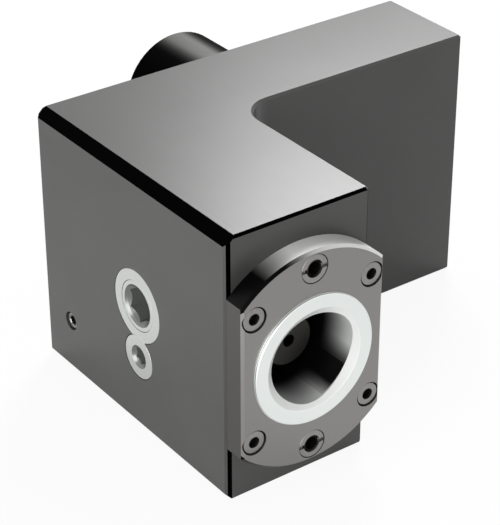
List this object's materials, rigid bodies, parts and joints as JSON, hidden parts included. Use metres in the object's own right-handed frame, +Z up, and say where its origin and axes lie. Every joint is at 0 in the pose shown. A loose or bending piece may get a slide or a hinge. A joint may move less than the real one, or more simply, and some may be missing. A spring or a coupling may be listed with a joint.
{
  "type": "turret clamping unit",
  "caption": "L-shaped turret clamping unit with a straight cylindrical shank behind and a cam-operated polygon taper coupling at the front left.",
  "frame": {"origin": "centre of the cylindrical shank on the rear contact face", "axes": "+Y back along the shank into the turret, +X to the right as seen facing the coupling, +Z up"},
  "size_m": [0.134, 0.1658, 0.085],
  "materials": {
    "black_oxide_steel": "black oxide on milled and ground faces, satin",
    "hardened_steel": "hardened and turned, grey, ground ring bright",
    "ground_steel": "ground bright",
    "dark_tool_steel": "hardened, dark grey",
    "black_screw_steel": "black oxide, satin",
    "seal_rubber": "matt"
  },
  "bodies": {
    "housing": {"body": "black_oxide_steel", "coupling_flange": "hardened_steel", "flange_screws": "black_screw_steel", "flange_dowels": "ground_steel", "flange_seal_rings": "seal_rubber", "segment_cage": "hardened_steel", "segment_spring_ring": "seal_rubber", "cam_bush": "ground_steel", "cam_stop_pin": "ground_steel", "cam_retaining_screw": "ground_steel", "nozzle_seat_upper": "black_screw_steel", "nozzle_seat_lower": "black_screw_steel", "gallery_plug": "black_screw_steel", "riser_plug": "black_screw_steel", "shank_seal_ring": "seal_rubber", "inlet_seal_ring": "seal_rubber"},
    "drawbar": {"drawbar": "dark_tool_steel", "drawbar_seal": "seal_rubber"},
    "cam": {"cam_shaft": "ground_steel", "cam_seal": "seal_rubber"},
    "segment_1": {"segment_1": "hardened_steel"},
    "segment_2": {"segment_2": "hardened_steel"},
    "segment_3": {"segment_3": "hardened_steel"},
    "segment_4": {"segment_4": "hardened_steel"},
    "segment_5": {"segment_5": "hardened_steel"},
    "segment_6": {"segment_6": "hardened_steel"},
    "nozzle_upper": {"nozzle_ball_upper": "dark_tool_steel"},
    "nozzle_lower": {"nozzle_ball_lower": "dark_tool_steel"}
  },
  "joints": [
    {"name": "cam_turn", "type": "hinge", "parent": "housing", "child": "cam", "pos_m": [-0.09, -0.051, 0], "axis": [1, 0, 0], "range_deg": [0, 160]},
    {"name": "drawbar_slide", "type": "slide", "parent": "housing", "child": "drawbar", "axis": [0, 1, 0], "range_m": [0, 0.003]},
    {"name": "segment_1_tilt", "type": "hinge", "parent": "housing", "child": "segment_1", "pos_m": [-0.05475, -0.068, 0], "axis": [0, 0, 1], "range_deg": [0, 5.5]},
    {"name": "segment_2_tilt", "type": "hinge", "parent": "housing", "child": "segment_2", "pos_m": [-0.06037, -0.068, 0.00974], "axis": [-0.866, 0, 0.5], "range_deg": [0, 5.5]},
    {"name": "segment_3_tilt", "type": "hinge", "parent": "housing", "child": "segment_3", "pos_m": [-0.07162, -0.068, 0.00974], "axis": [-0.866, 0, -0.5], "range_deg": [0, 5.5]},
    {"name": "segment_4_tilt", "type": "hinge", "parent": "housing", "child": "segment_4", "pos_m": [-0.07725, -0.068, 0], "axis": [0, 0, -1], "range_deg": [0, 5.5]},
    {"name": "segment_5_tilt", "type": "hinge", "parent": "housing", "child": "segment_5", "pos_m": [-0.07162, -0.068, -0.00974], "axis": [0.866, 0, -0.5], "range_deg": [0, 5.5]},
    {"name": "segment_6_tilt", "type": "hinge", "parent": "housing", "child": "segment_6", "pos_m": [-0.06037, -0.068, -0.00974], "axis": [0.866, 0, 0.5], "range_deg": [0, 5.5]},
    {"name": "nozzle_upper_tilt", "type": "hinge", "parent": "housing", "child": "nozzle_upper", "pos_m": [-0.066, -0.099, 0.0285], "axis": [1, 0, 0], "range_deg": [-12, 12]},
    {"name": "nozzle_lower_tilt", "type": "hinge", "parent": "housing", "child": "nozzle_lower", "pos_m": [-0.066, -0.099, -0.0285], "axis": [1, 0, 0], "range_deg": [-12, 12]}
  ],
  "couplings": [
    {"joint": "cam_turn", "follows": "drawbar_slide", "rad_per_m": 930.84},
    {"joint": "segment_1_tilt", "follows": "drawbar_slide", "rad_per_m": 31.997},
    {"joint": "segment_2_tilt", "follows": "drawbar_slide", "rad_per_m": 31.997},
    {"joint": "segment_3_tilt", "follows": "drawbar_slide", "rad_per_m": 31.997},
    {"joint": "segment_4_tilt", "follows": "drawbar_slide", "rad_per_m": 31.997},
    {"joint": "segment_5_tilt", "follows": "drawbar_slide", "rad_per_m": 31.997},
    {"joint": "segment_6_tilt", "follows": "drawbar_slide", "rad_per_m": 31.997}
  ]
}
